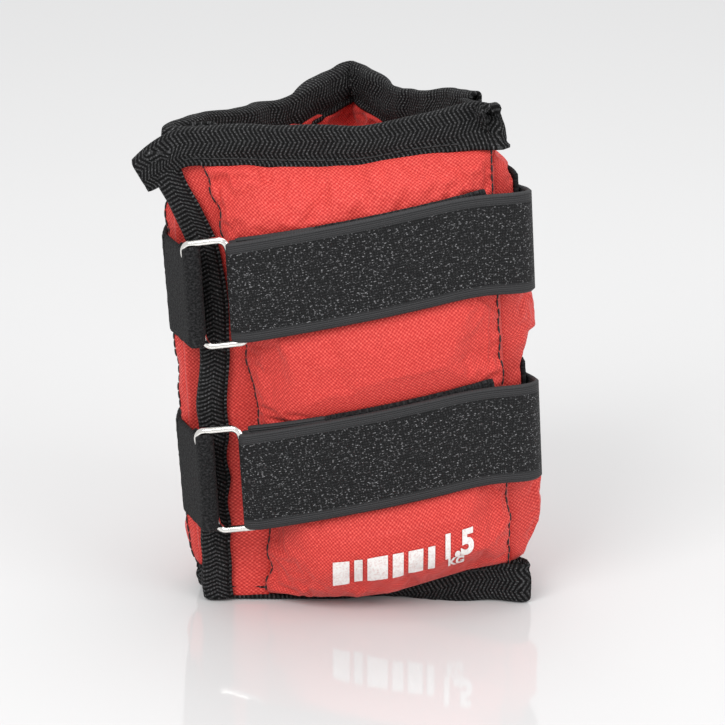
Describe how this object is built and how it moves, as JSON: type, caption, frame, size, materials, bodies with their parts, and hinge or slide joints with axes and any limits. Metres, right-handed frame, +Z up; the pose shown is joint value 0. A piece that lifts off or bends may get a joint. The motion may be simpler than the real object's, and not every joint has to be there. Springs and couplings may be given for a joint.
{
  "type": "ankle cuff weight",
  "caption": "Sand-filled wraparound ankle cuff weight in woven fabric with bound edges, closed by two hook-and-loop straps doubled back through wire rings.",
  "frame": {"origin": "on the floor, under the middle of the cuff's box, with the cuff standing on its lower edge", "axes": "+Z up along the height of the standing cuff, -Y out of the front pocket, +X towards the seam between the front and right pockets"},
  "size_m": [0.1254, 0.0964, 0.1559],
  "materials": {
    "oxford_cover": "coarse woven polyester, soft sheen",
    "oxford_lining": "woven polyester, matte",
    "bag_film": "thin film",
    "iron_sand": "loose grains",
    "binding_tape": "herringbone polypropylene webbing",
    "loop_tape": "brushed loop pile",
    "hook_tape": "woven nylon back of hook tape",
    "ring_wire": "nickel-plated steel wire"
  },
  "bodies": {
    "front_pocket": {"front_cover": "oxford_cover", "front_lining": "oxford_lining", "front_sand_bag": "bag_film", "front_iron_sand": "iron_sand", "front_top_binding": "binding_tape", "front_bottom_binding": "binding_tape", "front_upper_loop_tape": "loop_tape", "front_lower_loop_tape": "loop_tape", "strap_end_margin": "oxford_cover", "strap_end_binding": "binding_tape", "upper_strap_anchor": "hook_tape", "lower_strap_anchor": "hook_tape"},
    "right_pocket": {"right_cover": "oxford_cover", "right_lining": "oxford_lining", "right_sand_bag": "bag_film", "right_iron_sand": "iron_sand", "right_top_binding": "binding_tape", "right_bottom_binding": "binding_tape", "right_upper_loop_tape": "loop_tape", "right_lower_loop_tape": "loop_tape"},
    "rear_pocket": {"rear_cover": "oxford_cover", "rear_lining": "oxford_lining", "rear_sand_bag": "bag_film", "rear_iron_sand": "iron_sand", "rear_top_binding": "binding_tape", "rear_bottom_binding": "binding_tape", "rear_upper_loop_tape": "loop_tape", "rear_lower_loop_tape": "loop_tape", "ring_end_margin": "oxford_cover", "ring_end_binding": "binding_tape", "upper_ring_tab": "loop_tape", "lower_ring_tab": "loop_tape"},
    "upper_ring": {"upper_ring": "ring_wire"},
    "upper_strap": {"upper_strap_fold": "hook_tape", "upper_strap_run": "hook_tape", "upper_strap_corner": "hook_tape"},
    "upper_strap_tail": {"upper_strap_tail": "hook_tape"},
    "lower_ring": {"lower_ring": "ring_wire"},
    "lower_strap": {"lower_strap_fold": "hook_tape", "lower_strap_run": "hook_tape", "lower_strap_corner": "hook_tape"},
    "lower_strap_tail": {"lower_strap_tail": "hook_tape"}
  },
  "joints": [
    {"name": "right_seam_fold", "type": "hinge", "parent": "front_pocket", "child": "right_pocket", "pos_m": [0.04984, -0.03055, 0], "axis": [0.0527, 0, -0.9986], "range_deg": [0, 120], "deforming": ["strap_end_margin", "strap_end_binding", "upper_ring_tab", "lower_ring_tab", "upper_strap_anchor", "lower_strap_anchor", "upper_strap_fold", "lower_strap_fold", "upper_strap_corner", "lower_strap_corner", "front_cover", "front_lining", "front_sand_bag", "front_iron_sand"]},
    {"name": "rear_seam_fold", "type": "hinge", "parent": "right_pocket", "child": "rear_pocket", "pos_m": [0.0074, 0.04306, -0.00224], "axis": [0.0527, 0, -0.9986], "range_deg": [0, 109.48], "deforming": ["strap_end_margin", "strap_end_binding", "upper_ring_tab", "lower_ring_tab", "upper_strap_anchor", "lower_strap_anchor", "upper_strap_fold", "lower_strap_fold"]},
    {"name": "upper_ring_swivel", "type": "hinge", "parent": "rear_pocket", "child": "upper_ring", "pos_m": [-0.04785, -0.03949, 0.10199], "axis": [0.1998, 0, -0.9798], "range_deg": [-8, 25], "deforming": ["upper_strap_fold", "upper_strap_anchor", "upper_ring_tab"]},
    {"name": "upper_strap_peel", "type": "hinge", "parent": "front_pocket", "child": "upper_strap", "pos_m": [-0.0346, -0.04312, 0.10469], "axis": [0.1998, 0, -0.9798], "range_deg": [0, 130], "deforming": ["upper_strap_fold", "upper_strap_anchor", "upper_strap_corner", "upper_strap_tail"]},
    {"name": "upper_tail_fold", "type": "hinge", "parent": "upper_strap", "child": "upper_strap_tail", "pos_m": [0.04984, -0.03055, 0], "axis": [0.0527, 0, -0.9986], "range_deg": [0, 120], "deforming": ["upper_strap_corner"]},
    {"name": "lower_ring_swivel", "type": "hinge", "parent": "rear_pocket", "child": "lower_ring", "pos_m": [-0.04471, -0.03949, 0.04257], "axis": [0.1998, 0, -0.9798], "range_deg": [-8, 25], "deforming": ["lower_strap_fold", "lower_strap_anchor", "lower_ring_tab"]},
    {"name": "lower_strap_peel", "type": "hinge", "parent": "front_pocket", "child": "lower_strap", "pos_m": [-0.03146, -0.04312, 0.04528], "axis": [0.1998, 0, -0.9798], "range_deg": [0, 130], "deforming": ["lower_strap_fold", "lower_strap_anchor", "lower_strap_corner", "lower_strap_tail"]},
    {"name": "lower_tail_fold", "type": "hinge", "parent": "lower_strap", "child": "lower_strap_tail", "pos_m": [0.04984, -0.03055, 0], "axis": [0.0527, 0, -0.9986], "range_deg": [0, 120], "deforming": ["lower_strap_corner"]}
  ],
  "couplings": [
    {"joint": "upper_tail_fold", "follows": "right_seam_fold", "ratio": 1},
    {"joint": "lower_tail_fold", "follows": "right_seam_fold", "ratio": 1}
  ]
}
